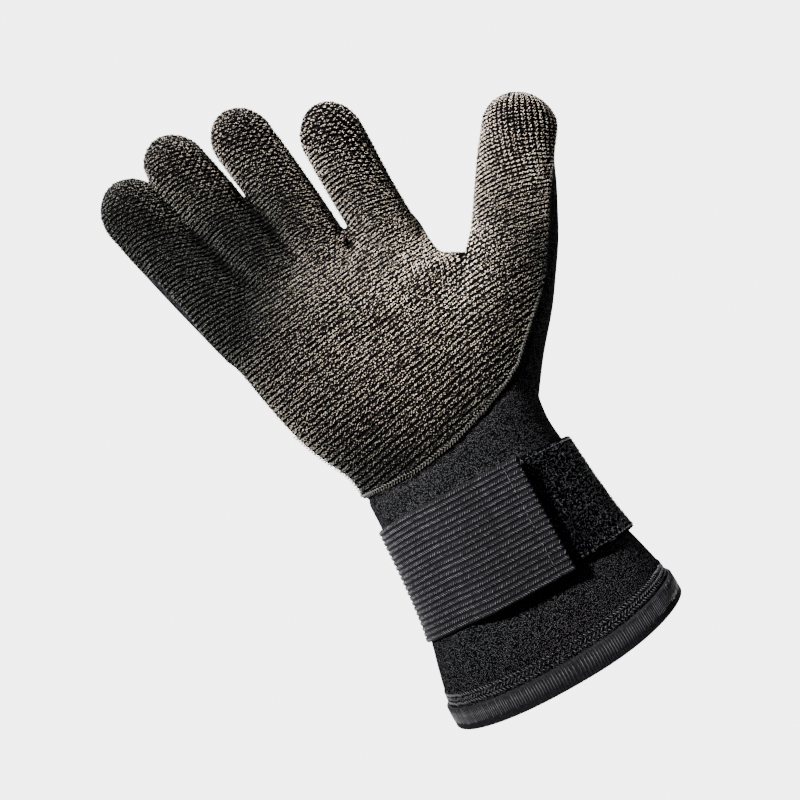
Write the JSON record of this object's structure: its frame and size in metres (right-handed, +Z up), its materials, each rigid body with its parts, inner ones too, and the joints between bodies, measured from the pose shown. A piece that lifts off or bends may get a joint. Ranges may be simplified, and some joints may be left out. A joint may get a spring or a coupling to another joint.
{
  "type": "diving glove",
  "caption": "Right-hand neoprene diving glove with a knitted grip palm, flared gauntlet cuff and hook-and-loop wrist strap, lying palm up.",
  "frame": {"origin": "on the floor, under the middle of the box round the glove", "axes": "+Y from the cuff to the fingertips, +Z up out of the palm, +X towards the thumb"},
  "size_m": [0.1872, 0.2796, 0.0705],
  "materials": {
    "neoprene": "fine black nylon jersey on foam neoprene",
    "grip_knit": "dark grey knit with raised lighter grip nubs in staggered rows",
    "binding_tape": "black ribbed binding tape with a matt sheen",
    "loop_pile": "black fuzzy loop pile",
    "hook_tape": "black hook tape",
    "elastic_webbing": "black elastic webbing with ribs along its length"
  },
  "bodies": {
    "root": {"neoprene_body": "neoprene", "palm_panel": "grip_knit", "hem_binding": "binding_tape", "loop_strip": "loop_pile", "hook_tab": "hook_tape", "strap": "elastic_webbing"}
  },
  "joints": []
}
